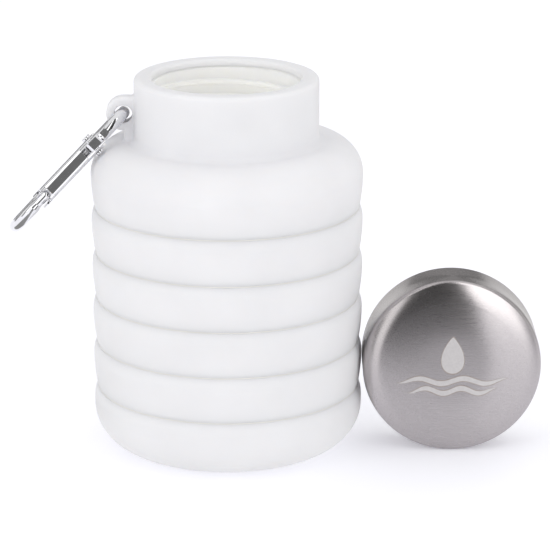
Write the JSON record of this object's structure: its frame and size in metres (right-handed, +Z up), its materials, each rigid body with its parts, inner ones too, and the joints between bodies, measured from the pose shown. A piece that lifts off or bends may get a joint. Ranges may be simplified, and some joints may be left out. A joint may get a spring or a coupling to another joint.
{
  "type": "folding water bottle",
  "caption": "White silicone bottle with ringed walls that fold down, threaded neck, side lug with a sprung snap hook, and a brushed steel screw cap stood beside it.",
  "frame": {"origin": "centre of the flat underside of the base cup, on the bottle's axis", "axes": "+Z up the bottle's axis to the mouth, -X to the lug and snap hook, +X to the cap that stands beside the bottle, -Y to the cap's brushed face"},
  "size_m": [0.1497, 0.076, 0.1062],
  "materials": {
    "silicone": "matt",
    "neck_plastic": "satin",
    "cap_plastic": "satin",
    "gasket": "matt",
    "cap_steel": "fine straight brushing",
    "hook_chrome": "bright plated steel",
    "spring_steel": "drawn wire"
  },
  "bodies": {
    "base": {"base_cup": "silicone", "fold_web_1": "silicone"},
    "band_1": {"ring_band_1": "silicone", "fold_web_2": "silicone"},
    "band_2": {"ring_band_2": "silicone", "fold_web_3": "silicone"},
    "band_3": {"ring_band_3": "silicone", "fold_web_4": "silicone"},
    "band_4": {"ring_band_4": "silicone", "fold_web_5": "silicone"},
    "shoulder": {"shoulder_neck": "silicone", "neck_insert": "neck_plastic"},
    "hook": {"hook_body": "hook_chrome", "gate_rivet": "hook_chrome", "latch_pin": "hook_chrome"},
    "gate": {"hook_gate": "hook_chrome", "gate_spring": "spring_steel", "gate_plunger": "spring_steel"},
    "cap": {"cap_shell": "cap_steel", "cap_plug": "cap_plastic", "cap_gasket": "gasket"}
  },
  "joints": [
    {"name": "fold_1", "type": "slide", "parent": "base", "child": "band_1", "axis": [0, 0, 1], "range_m": [0, 0.013], "deforming": ["fold_web_1"]},
    {"name": "fold_2", "type": "slide", "parent": "band_1", "child": "band_2", "axis": [0, 0, 1], "range_m": [0, 0.013], "deforming": ["fold_web_2"]},
    {"name": "fold_3", "type": "slide", "parent": "band_2", "child": "band_3", "axis": [0, 0, 1], "range_m": [0, 0.013], "deforming": ["fold_web_3"]},
    {"name": "fold_4", "type": "slide", "parent": "band_3", "child": "band_4", "axis": [0, 0, 1], "range_m": [0, 0.013], "deforming": ["fold_web_4"]},
    {"name": "fold_5", "type": "slide", "parent": "band_4", "child": "shoulder", "axis": [0, 0, 1], "range_m": [0, 0.013], "deforming": ["fold_web_5"]},
    {"name": "hook_swing", "type": "hinge", "parent": "shoulder", "child": "hook", "pos_m": [-0.0286, 0, 0.0959], "axis": [0, 1, 0], "range_deg": [0, 130]},
    {"name": "gate_open", "type": "hinge", "parent": "hook", "child": "gate", "pos_m": [-0.03683, -0.00676, 0.08826], "axis": [0.7243, -0.1132, -0.6801], "range_deg": [0, 24], "stiffness_Nm_per_rad": 0.05, "springref_deg": -17.19},
    {"name": "cap_lift", "type": "slide", "parent": "base", "child": "cap", "axis": [0, 0, 1], "range_m": [0, 0.15]}
  ],
  "couplings": [
    {"joint": "fold_2", "follows": "fold_1", "ratio": 1},
    {"joint": "fold_3", "follows": "fold_1", "ratio": 1},
    {"joint": "fold_4", "follows": "fold_1", "ratio": 1},
    {"joint": "fold_5", "follows": "fold_1", "ratio": 1}
  ]
}
